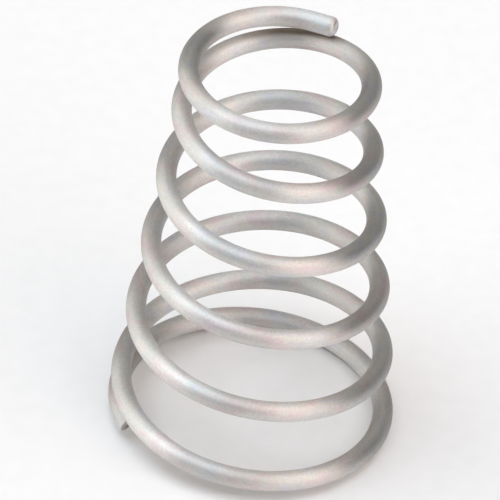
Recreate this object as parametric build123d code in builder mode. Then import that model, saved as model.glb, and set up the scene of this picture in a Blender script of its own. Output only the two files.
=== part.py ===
from build123d import *

import math
import os

# Conical compression spring, bent from one length of round wire, with its narrow end at the top.
# Both ends are closed and unground: each cut tip comes to rest on the neighbouring turn.
# Lengths are in mm, and stretches of wire are in turns. The origin is on the spring's axis, in
# the plane that the base stands on, and +Z points up.

# Wire
wire_diameter = 1.2
tip_clearance = 0.02  # between a cut tip and the turn that it rests on

# Cone
top_outer_diameter = 11.9
base_outer_diameter = 17.0
total_turns = 6.416
active_pitch = 5.05  # drop of one turn between the closed ends
top_tip_angle = 56.3  # where the wire starts, anticlockwise from +X

# Closed end at the top: turns held at closed pitch, then turns that open to the active pitch
top_closed_turns = 0.6
top_opening_turns = 0.45

# Closed end at the base, counted back from the lower tip
base_closed_turns = 0.25
base_opening_turns = 0.75

# The taper starts after most of the first turn and ends before the last tip
top_straight_turns = 0.7
base_straight_turns = 0.65
taper_easing_turns = 0.6

# Upper tip: the wire leaves the coil in a straight line, is cut square and is tumbled well round
top_tip_length = 1.5
top_edge_radius = 0.4

# Lower tip: also straight, but sheared at a slant with only the burr tumbled off
base_tip_length = 0.6
base_edge_radius = 0.16
base_outward_slant = 30  # degrees from square, longest on the outside
base_upward_slant = 21.5  # degrees from square, longest on top

# Points that the centreline passes through in each turn
points_per_turn = 20


def eased(turn, easing):
    """Travel at a rate that rises smoothly from 0 to 1 over the easing turns, then stays 1."""
    share = min(max(turn / easing, 0), 1)
    return easing * (share**3 - share**4 / 2) + max(turn - easing, 0)


def tapered(turn):
    """Turns of taper passed so far, with a smooth start and a smooth end."""
    taper_end = total_turns - base_straight_turns - taper_easing_turns
    return eased(turn - top_straight_turns, taper_easing_turns) - eased(turn - taper_end, taper_easing_turns)


def coil_radius(turn):
    """Radius of the centreline, counting turns down from the upper tip."""
    top_radius = (top_outer_diameter - wire_diameter) / 2
    base_radius = (base_outer_diameter - wire_diameter) / 2
    return top_radius + (base_radius - top_radius) * tapered(turn) / tapered(total_turns)


def closed_pitch(tip_turn, tip_length, neighbour_turn, closed_turns, opening_turns):
    """Pitch of a closed end that lays its straight tip against the neighbouring turn."""
    side_step = math.hypot(coil_radius(tip_turn), tip_length) - coil_radius(neighbour_turn)
    drop = math.sqrt((wire_diameter + tip_clearance) ** 2 - side_step**2)
    opened = eased(1 - closed_turns, opening_turns)
    return (drop - active_pitch * opened) / (1 - opened)


top_pitch = closed_pitch(0, top_tip_length, 1, top_closed_turns, top_opening_turns)
base_pitch = closed_pitch(
    total_turns, base_tip_length, total_turns - 1, base_closed_turns, base_opening_turns
)


def descent(turn):
    """How far the centreline has come down from the upper tip."""
    base_start = total_turns - base_closed_turns - base_opening_turns
    opening = (active_pitch - top_pitch) * eased(turn - top_closed_turns, top_opening_turns)
    closing = (active_pitch - base_pitch) * eased(turn - base_start, base_opening_turns)
    return top_pitch * turn + opening - closing


# The base turn is lowest a little before its tip, which springs back up to the turn above
lowest = max(descent(total_turns - step / 1000) for step in range(1000))


def coil_point(turn):
    """A point of the coil's centreline. Going down it runs anticlockwise: a left-hand helix."""
    angle = math.radians(top_tip_angle + 360 * turn)
    height = wire_diameter / 2 + lowest - descent(turn)
    return (coil_radius(turn) * math.cos(angle), coil_radius(turn) * math.sin(angle), height)


# The coil lies between the two straight tips
coil_start = top_tip_length / (2 * math.pi * coil_radius(0))
coil_end = total_turns - base_tip_length / (2 * math.pi * coil_radius(total_turns))
point_count = round(total_turns * points_per_turn)
turns = [coil_start + (coil_end - coil_start) * step / point_count for step in range(point_count + 1)]
with BuildLine() as centreline:
    Spline([coil_point(turn) for turn in turns])


def across_wire(place):
    """The plane across one end of the coil, with Z down the wire and X outward."""
    origin = centreline.line @ place
    return Plane(origin=origin, x_dir=(origin.X, origin.Y, 0), z_dir=centreline.line % place)


def cut_tip(plane, reach, slants, edge_radius):
    """Straight wire from the plane to the middle of its cut. It runs up the wire if reach is below 0."""
    along_tip = Axis(plane.origin, plane.z_dir * reach)
    with BuildPart() as tip:
        with BuildSketch(plane):
            Circle(wire_diameter / 2)
        extrude(amount=reach + math.copysign(wire_diameter, reach))
        split(bisect_by=plane.offset(reach).rotated(slants), keep=Keep.BOTTOM if reach > 0 else Keep.TOP)
        fillet(tip.faces().sort_by(along_tip)[-1].edges(), radius=edge_radius)
    return tip.part


top_tip = cut_tip(across_wire(0), -top_tip_length, (0, 0, 0), top_edge_radius)
base_slants = (-base_upward_slant, -base_outward_slant, 0)
base_tip = cut_tip(across_wire(1), base_tip_length, base_slants, base_edge_radius)

with BuildPart() as spring:
    with BuildSketch(across_wire(0)):
        Circle(wire_diameter / 2)
    sweep(path=centreline.line, is_frenet=True)
    add([top_tip, base_tip])

spring.part.label = "spring"

os.makedirs("parts", exist_ok=True)
export_step(spring.part, "parts/spring.step")
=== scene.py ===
import math

import bmesh
import bpy
from mathutils import Matrix, Quaternion, Vector


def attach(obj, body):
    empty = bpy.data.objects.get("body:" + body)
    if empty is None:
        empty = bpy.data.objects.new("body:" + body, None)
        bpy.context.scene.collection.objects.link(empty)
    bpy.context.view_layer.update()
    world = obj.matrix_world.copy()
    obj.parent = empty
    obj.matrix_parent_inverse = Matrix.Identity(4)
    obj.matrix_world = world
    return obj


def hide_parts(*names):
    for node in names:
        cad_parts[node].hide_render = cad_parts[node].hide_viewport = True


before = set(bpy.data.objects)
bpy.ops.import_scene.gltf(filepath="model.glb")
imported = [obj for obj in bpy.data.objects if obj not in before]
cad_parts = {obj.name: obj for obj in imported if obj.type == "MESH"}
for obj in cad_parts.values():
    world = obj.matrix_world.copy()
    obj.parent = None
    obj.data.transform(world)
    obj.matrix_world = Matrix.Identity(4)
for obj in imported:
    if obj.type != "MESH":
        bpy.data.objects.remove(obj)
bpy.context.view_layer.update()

# ---------------------------------------------------------------------------
# The spring's sizes, in metres. Stretches of wire are in turns from the upper tip.
# ---------------------------------------------------------------------------

MM = 0.001

wire_radius = 0.6 * MM
tip_clearance = 0.02 * MM

top_coil_radius = 5.35 * MM
base_coil_radius = 7.9 * MM
total_turns = 6.416
active_pitch = 5.05 * MM
top_tip_angle = math.radians(56.3)

top_closed_turns, top_opening_turns = 0.6, 0.45
base_closed_turns, base_opening_turns = 0.25, 0.75
top_straight_turns, base_straight_turns = 0.7, 0.65
taper_easing_turns = 0.6

top_tip_length = 1.5 * MM
top_edge_radius = 0.4 * MM
base_tip_length = 0.6 * MM
base_edge_radius = 0.16 * MM
base_outward_slant = math.radians(30)
base_upward_slant = math.radians(21.5)

RINGS_PER_TURN = 96
RING_SIDES = 40
TIP_RING_STEP = 0.5 * MM
EDGE_STEPS = 8
CUT_RIM_WIDTH = 0.03 * MM
STEPS_A_TURN = 1000  # for finding the lowest point and the wire's direction


# ---------------------------------------------------------------------------
# Centreline of the wire
# ---------------------------------------------------------------------------


def eased(turn, easing):
    """Travel at a rate that rises smoothly from 0 to 1 over the easing turns, then stays 1."""
    share = min(max(turn / easing, 0), 1)
    return easing * (share**3 - share**4 / 2) + max(turn - easing, 0)


def tapered(turn):
    """Turns of taper passed so far, with a smooth start and a smooth end."""
    taper_end = total_turns - base_straight_turns - taper_easing_turns
    started = eased(turn - top_straight_turns, taper_easing_turns)
    ended = eased(turn - taper_end, taper_easing_turns)
    return started - ended


def coil_radius(turn):
    """Radius of the centreline, counting turns down from the upper tip."""
    return top_coil_radius + (base_coil_radius - top_coil_radius) * tapered(turn) / tapered(total_turns)


def closed_pitch(tip_turn, tip_length, neighbour_turn, closed_turns, opening_turns):
    """Pitch of a closed end that lays its straight tip against the neighbouring turn."""
    side_step = math.hypot(coil_radius(tip_turn), tip_length) - coil_radius(neighbour_turn)
    drop = math.sqrt((2 * wire_radius + tip_clearance) ** 2 - side_step**2)
    opened = eased(1 - closed_turns, opening_turns)
    return (drop - active_pitch * opened) / (1 - opened)


top_pitch = closed_pitch(0, top_tip_length, 1, top_closed_turns, top_opening_turns)
base_pitch = closed_pitch(
    total_turns, base_tip_length, total_turns - 1, base_closed_turns, base_opening_turns
)


def descent(turn):
    """How far the centreline has come down from the upper tip."""
    base_start = total_turns - base_closed_turns - base_opening_turns
    opening = (active_pitch - top_pitch) * eased(turn - top_closed_turns, top_opening_turns)
    closing = (active_pitch - base_pitch) * eased(turn - base_start, base_opening_turns)
    return top_pitch * turn + opening - closing


lowest = max(descent(total_turns - step / STEPS_A_TURN) for step in range(STEPS_A_TURN))
coil_start = top_tip_length / (math.tau * coil_radius(0))
coil_end = total_turns - base_tip_length / (math.tau * coil_radius(total_turns))


def coil_point(turn):
    """Point of the centreline, winding anticlockwise and down, with the base turn on the floor."""
    angle = top_tip_angle + math.tau * turn
    height = wire_radius + lowest - descent(turn)
    return Vector((coil_radius(turn) * math.cos(angle), coil_radius(turn) * math.sin(angle), height))


def across_wire(turn):
    """Matrix of the plane across the wire: X outward, Y to its underside and Z down the wire."""
    step = 1 / STEPS_A_TURN
    along = (coil_point(turn + step) - coil_point(turn - step)).normalized()
    outward = coil_point(turn) * Vector((1, 1, 0))
    outward = (outward - outward.project(along)).normalized()
    axes = Matrix((outward, along.cross(outward), along)).transposed().to_4x4()
    return Matrix.Translation(coil_point(turn)) @ axes


def leaning(upward_slant, outward_slant):
    """Matrix that leans a square ring over into the slanted plane of a cut."""
    turned = Matrix.Rotation(-upward_slant, 3, "X") @ Matrix.Rotation(-outward_slant, 3, "Y")
    normal = turned.col[2]
    lean = Matrix.Identity(4)
    lean[2][0], lean[2][1] = -normal.x / normal.z, -normal.y / normal.z
    return lean


# ---------------------------------------------------------------------------
# Making meshes
# ---------------------------------------------------------------------------


def finished_object(name, mesh_work, material):
    """Turns the bmesh into a smooth-shaded object in the scene."""
    mesh = bpy.data.meshes.new(name)
    mesh_work.to_mesh(mesh)
    mesh_work.free()
    mesh.materials.append(material)
    for polygon in mesh.polygons:
        polygon.use_smooth = True
    made = bpy.data.objects.new(name, mesh)
    bpy.context.scene.collection.objects.link(made)
    return made


def tip_rings(turn, reach, lean, travelled):
    """(plane, lean, distance down the wire) for each ring of a straight tip, from coil to cut."""
    steps = max(1, round(abs(reach) / TIP_RING_STEP))
    plane = across_wire(turn)
    square = Matrix.Identity(4)
    rings = []
    for step in range(1, steps + 1):
        share = step / steps
        moved = plane @ Matrix.Translation((0, 0, reach * share))
        rings.append((moved, square + (lean - square) * share, travelled + reach * share))
    return rings


def coil_rings():
    """(plane, lean, distance down the wire) for each ring of the coil."""
    ring_count = round(total_turns * RINGS_PER_TURN)
    rings = []
    travelled = 0.0
    for ring in range(ring_count + 1):
        plane = across_wire(coil_start + (coil_end - coil_start) * ring / ring_count)
        if rings:
            travelled += (plane.translation - rings[-1][0].translation).length
        rings.append((plane, Matrix.Identity(4), travelled))
    return rings


def wire_rings():
    """Rings of the whole wire, from cut to cut.

    Distances count from where the coil starts, so those of the upper tip are below 0.
    """
    coil = coil_rings()
    top_tip = tip_rings(coil_start, -top_tip_length, leaning(0, 0), 0.0)
    slant = leaning(base_upward_slant, base_outward_slant)
    base_tip = tip_rings(coil_end, base_tip_length, slant, coil[-1][2])
    return top_tip[::-1] + coil + base_tip


def wind_tube(work, wire_space):
    """One ring of wire, extruded from place to place. Returns the rims of its two open ends."""
    rings = wire_rings()
    circle = bmesh.ops.create_circle(work, cap_ends=False, segments=RING_SIDES, radius=wire_radius)
    verts = circle["verts"]
    top_rim = edges = list(work.edges)
    placed = Matrix.Identity(4)
    for number, (plane, lean, travelled) in enumerate(rings):
        if number:
            made = bmesh.ops.extrude_edge_only(work, edges=edges)["geom"]
            verts = [item for item in made if isinstance(item, bmesh.types.BMVert)]
            edges = [item for item in made if isinstance(item, bmesh.types.BMEdge)]
        bmesh.ops.transform(work, matrix=plane @ lean @ placed.inverted(), verts=verts)
        placed = plane @ lean
        note_places(verts, wire_space, plane, travelled)
    return (top_rim, rings[0], top_edge_radius), (edges, rings[-1], base_edge_radius)


def note_places(verts, wire_space, plane, travelled):
    """Stores each vertex's place in the wire: outward, to the underside, and how far down the wire."""
    unplaced = plane.inverted()
    for vertex in verts:
        vertex[wire_space] = unplaced @ vertex.co + Vector((0, 0, travelled))


def close_tip(work, wire_space, rim, ring, edge_radius):
    """The flat cut, with its edge tumbled round."""
    plane, _, travelled = ring
    bmesh.ops.edgeloop_fill(work, edges=rim)
    bmesh.ops.recalc_face_normals(work, faces=work.faces)
    rounded = bmesh.ops.bevel(
        work,
        geom=rim,
        offset=edge_radius,
        segments=EDGE_STEPS,
        affect="EDGES",
        profile=0.5,
        material=-1,
    )
    note_places(rounded["verts"], wire_space, plane, travelled)
    cuts = [face for face in work.faces if len(face.verts) == RING_SIDES and face.calc_area() > 0]
    cut = min(cuts, key=lambda face: (face.calc_center_median() - plane.translation).length)
    bmesh.ops.inset_region(work, faces=[cut], thickness=CUT_RIM_WIDTH, use_even_offset=True)
    note_places(cut.verts, wire_space, plane, travelled)


def map_wire(work, wire_space):
    """UV map in metres, with U down the wire and over its rounded edges, and V round it.

    The cuts are mapped flat.
    """
    layer = work.loops.layers.uv.new("wire_map")
    girth = math.tau * wire_radius
    for face in work.faces:
        places = [loop.vert[wire_space] for loop in face.loops]
        if len(places) > 4:
            for loop, place in zip(face.loops, places):
                loop[layer].uv = place.xy
            continue
        rounds = [math.atan2(place.y, place.x) / math.tau for place in places]
        for loop, place, turned in zip(face.loops, places, rounds):
            turned -= round(turned - rounds[0])
            over_edge = wire_radius - place.xy.length
            loop[layer].uv = (place.z + math.copysign(over_edge, place.z), turned * girth)


def wound_wire(material):
    """The whole spring: one closed tube with both tips cut and tumbled."""
    work = bmesh.new()
    wire_space = work.verts.layers.float_vector.new("wire_space")
    for rim, ring, edge_radius in wind_tube(work, wire_space):
        close_tip(work, wire_space, rim, ring, edge_radius)
    map_wire(work, wire_space)
    return finished_object("wound_wire", work, material)


# ---------------------------------------------------------------------------
# Materials
# ---------------------------------------------------------------------------

# Sockets of a Mix node that mixes colours. Their names repeat, so they go by number.
MIX_FACTOR, FIRST_COLOUR, SECOND_COLOUR, MIXED_COLOUR = 0, 6, 7, 2

WHITE = (1.0, 1.0, 1.0)


def grey(level):
    return (level, level, level)


def new_material(name):
    """A material that holds a shader alone. Returns both."""
    material = bpy.data.materials.new(name)
    material.use_nodes = True
    nodes = material.node_tree.nodes
    nodes.clear()
    output = nodes.new("ShaderNodeOutputMaterial")
    shader = nodes.new("ShaderNodeBsdfPrincipled")
    material.node_tree.links.new(shader.outputs["BSDF"], output.inputs["Surface"])
    return material, shader


def noise(material, coordinates, stretch, detail, roughness=0.5):
    """Noise over the given coordinates, with its grains per metre along each axis."""
    tree = material.node_tree
    mapping = tree.nodes.new("ShaderNodeMapping")
    mapping.inputs["Scale"].default_value = stretch
    tree.links.new(coordinates, mapping.inputs["Vector"])
    texture = tree.nodes.new("ShaderNodeTexNoise")
    texture.inputs["Scale"].default_value = 1.0
    texture.inputs["Detail"].default_value = detail
    texture.inputs["Roughness"].default_value = roughness
    tree.links.new(mapping.outputs["Vector"], texture.inputs["Vector"])
    return texture.outputs["Fac"]


def ramp(material, factor, stops):
    """Colour ramp over a factor, from (place, colour) stops."""
    tree = material.node_tree
    node = tree.nodes.new("ShaderNodeValToRGB")
    elements = node.color_ramp.elements
    while len(elements) < len(stops):
        elements.new(0.5)
    for element, (place, colour) in zip(elements, stops):
        element.position = place
        element.color = (*colour, 1)
    tree.links.new(factor, node.inputs["Fac"])
    return node.outputs["Color"]


def spread(material, factor, low, high):
    """A factor between 0.25 and 0.75, as a number from low to high."""
    tree = material.node_tree
    node = tree.nodes.new("ShaderNodeMapRange")
    node.inputs["From Min"].default_value = 0.25
    node.inputs["From Max"].default_value = 0.75
    node.inputs["To Min"].default_value = low
    node.inputs["To Max"].default_value = high
    tree.links.new(factor, node.inputs["Value"])
    return node.outputs["Result"]


def multiplied(material, first, second):
    """One colour tinted by another."""
    tree = material.node_tree
    node = tree.nodes.new("ShaderNodeMix")
    node.data_type = "RGBA"
    node.blend_type = "MULTIPLY"
    node.inputs[MIX_FACTOR].default_value = 1.0
    tree.links.new(first, node.inputs[FIRST_COLOUR])
    tree.links.new(second, node.inputs[SECOND_COLOUR])
    return node.outputs[MIXED_COLOUR]


def bump(material, height, depth, under=None):
    """Bump of a height from 0 to 1 that stands depth metres high, over another bump if given."""
    tree = material.node_tree
    node = tree.nodes.new("ShaderNodeBump")
    node.inputs["Strength"].default_value = 1.0
    node.inputs["Distance"].default_value = depth
    tree.links.new(height, node.inputs["Height"])
    if under:
        tree.links.new(under, node.inputs["Normal"])
    return node.outputs["Normal"]


def painted_shade_patch(material, place, centre, reach):
    """Painted brown shade round a place in wire space, fading out over its reach."""
    brown, full_share = (0.62, 0.55, 0.49), 0.3
    tree = material.node_tree
    mapping = tree.nodes.new("ShaderNodeMapping")
    shift = [-middle / extent for middle, extent in zip(centre, reach)]
    mapping.inputs["Location"].default_value = shift
    mapping.inputs["Scale"].default_value = [1 / extent for extent in reach]
    tree.links.new(place, mapping.inputs["Vector"])
    distance = tree.nodes.new("ShaderNodeVectorMath")
    distance.operation = "LENGTH"
    tree.links.new(mapping.outputs["Vector"], distance.inputs[0])
    return ramp(material, distance.outputs["Value"], [(full_share, brown), (1.0, WHITE)])


def steel_colour(material, place, grain, drawn_lines):
    """Cloudy grey with a faint play of hues, darkened in the grain and along the drawing lines."""
    clouds = noise(material, place, (600, 600, 350), detail=3)
    hues = noise(material, place, (1100, 1100, 600), detail=5, roughness=0.65)
    dull, bright = (0.81, 0.78, 0.775), (0.95, 0.92, 0.91)
    cloudy = ramp(material, clouds, [(0.3, dull), (0.7, bright)])
    pink, cream = (1.0, 0.92, 0.93), (1.0, 0.98, 0.945)
    green, blue = (0.95, 0.985, 0.95), (0.94, 0.955, 1.0)
    hued = ramp(material, hues, [(0.38, pink), (0.46, cream), (0.54, green), (0.63, blue)])
    lined = ramp(material, drawn_lines, [(0.3, grey(0.93)), (0.7, WHITE)])
    speckled = ramp(material, grain, [(0.25, grey(0.84)), (0.75, WHITE)])
    tinted = multiplied(material, cloudy, hued)
    return multiplied(material, tinted, multiplied(material, speckled, lined))


def painted_crevice_shades(material, place):
    """Painted brown shade on the two sides of the crevice just past the upper tip, where shade falls
    between the tip and the next turn, and painted shade on the base cut face.
    """
    tip_reach = (0.9 * MM, 0.5 * MM, 3.6 * MM)
    past_tip = 1.0 * MM
    one_turn = math.tau * top_coil_radius
    cut_reach = (0.8 * MM, 0.6 * MM, 0.5 * MM)
    base_cut = wire_rings()[-1][2]
    return [
        painted_shade_patch(material, place, (0, wire_radius, past_tip), tip_reach),
        painted_shade_patch(material, place, (0, -wire_radius, past_tip + one_turn), tip_reach),
        painted_shade_patch(material, place, (-0.2 * MM, 0.3 * MM, base_cut - 0.1 * MM), cut_reach),
    ]


def tumbled_steel():
    """Satin stainless spring wire: cloudy grey, with a fine tumbled grain over faint drawing lines, and
    painted brown shade by the upper tip and on the base cut.
    """
    material, shader = new_material("tumbled_steel")
    tree = material.node_tree
    attribute = tree.nodes.new("ShaderNodeAttribute")
    attribute.attribute_name = "wire_space"
    place = attribute.outputs["Vector"]
    grain = noise(material, place, (8000, 8000, 8000), detail=2)
    drawn_lines = noise(material, place, (6000, 6000, 250), detail=3)

    colour = steel_colour(material, place, grain, drawn_lines)
    # Painted shade: the base colour is darkened brown in the crevice under the upper tip and on the
    # base cut face.
    for shade_patch in painted_crevice_shades(material, place):
        colour = multiplied(material, colour, shade_patch)
    tree.links.new(colour, shader.inputs["Base Color"])
    tree.links.new(spread(material, grain, 0.46, 0.54), shader.inputs["Roughness"])
    shader.inputs["Metallic"].default_value = 1.0
    shader.inputs["Specular Tint"].default_value = (*grey(0.4), 1.0)

    lines = bump(material, drawn_lines, 0.001 * MM)
    tree.links.new(bump(material, grain, 0.002 * MM, under=lines), shader.inputs["Normal"])

    tangent = tree.nodes.new("ShaderNodeTangent")
    tangent.direction_type = "UV_MAP"
    tangent.uv_map = "wire_map"
    tree.links.new(tangent.outputs["Tangent"], shader.inputs["Tangent"])
    shader.inputs["Anisotropic"].default_value = 0.85
    shader.inputs["Anisotropic Rotation"].default_value = 0.25
    return material


def pale_floor():
    """Matt white studio paper."""
    material, shader = new_material("pale_floor")
    tree = material.node_tree
    coordinates = tree.nodes.new("ShaderNodeTexCoord")
    fibres = noise(material, coordinates.outputs["Object"], (900, 900, 900), detail=3)
    paper = ramp(material, fibres, [(0.3, grey(0.90)), (0.7, grey(0.92))])
    tree.links.new(paper, shader.inputs["Base Color"])
    shader.inputs["Roughness"].default_value = 1.0
    shader.inputs["Specular IOR Level"].default_value = 0.0
    return material


# ---------------------------------------------------------------------------
# Studio
# ---------------------------------------------------------------------------


def studio_floor():
    """A round floor, wide enough to fill the view."""
    work = bmesh.new()
    bmesh.ops.create_circle(work, cap_ends=True, segments=96, radius=4.0)
    floor = finished_object("studio_floor", work, pale_floor())


def soft_light(name, azimuth, elevation, spread_angle, strength, colour):
    """A round soft light far away. Azimuth 0 shines from the camera's side and 90 from its right."""
    lamp = bpy.data.lights.new(name, "SUN")
    lamp.angle = math.radians(spread_angle)
    lamp.energy = strength
    lamp.color = colour
    light = bpy.data.objects.new(name, lamp)
    bpy.context.scene.collection.objects.link(light)
    turn, rise = math.radians(azimuth), math.radians(elevation)
    across, back = math.sin(turn) * math.cos(rise), -math.cos(turn) * math.cos(rise)
    towards = Vector((across, back, math.sin(rise)))
    light.rotation_mode = "QUATERNION"
    light.rotation_quaternion = towards.to_track_quat("Z", "Y")
    light.location = towards


def room_light(colour, strength):
    """Faint even light from all round."""
    world = bpy.data.worlds.new("room_light")
    bpy.context.scene.world = world
    world.use_nodes = True
    background = world.node_tree.nodes["Background"]
    background.inputs["Color"].default_value = (*colour, 1)
    background.inputs["Strength"].default_value = strength


def camera():
    """A long lens, well above the spring and a little out of level."""
    elevation, roll = math.radians(39.24), math.radians(5.16)
    distance = 0.6
    middle = Vector((0, 0, 12.6)) * MM
    aim = Vector((-0.84, 0, 12.3)) * MM
    back = Vector((0, -math.cos(elevation), math.sin(elevation)))
    data = bpy.data.cameras.new("camera")
    data.sensor_width = 36
    data.lens = 735
    data.clip_start, data.clip_end = 0.01, 20
    made = bpy.data.objects.new("camera", data)
    bpy.context.scene.collection.objects.link(made)
    made.location = middle + back * distance
    made.rotation_mode = "QUATERNION"
    level = (aim - made.location).to_track_quat("-Z", "Y")
    made.rotation_quaternion = level @ Quaternion((0, 0, 1), roll)
    bpy.context.scene.camera = made


# ---------------------------------------------------------------------------
# The scene
# ---------------------------------------------------------------------------

camera()
studio_floor()
room_light(WHITE, 0.02)
soft_light(
    "window", azimuth=-95, elevation=24, spread_angle=80, strength=1.58, colour=(1.0, 0.99, 0.96)
)
soft_light(
    "high_left", azimuth=-60, elevation=73, spread_angle=45, strength=1.23, colour=(0.83, 0.91, 1.0)
)
soft_light(
    "high_right", azimuth=60, elevation=60, spread_angle=60, strength=1.13, colour=(1.0, 0.93, 0.88)
)
soft_light(
    "low_right", azimuth=50, elevation=22, spread_angle=60, strength=0.75, colour=(1.0, 0.89, 0.88)
)
soft_light(
    "behind", azimuth=180, elevation=50, spread_angle=80, strength=0.51, colour=(1.0, 0.99, 0.95)
)

wire = wound_wire(tumbled_steel())
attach(wire, "root")
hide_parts("spring")

bpy.context.scene.view_settings.view_transform = "Standard"
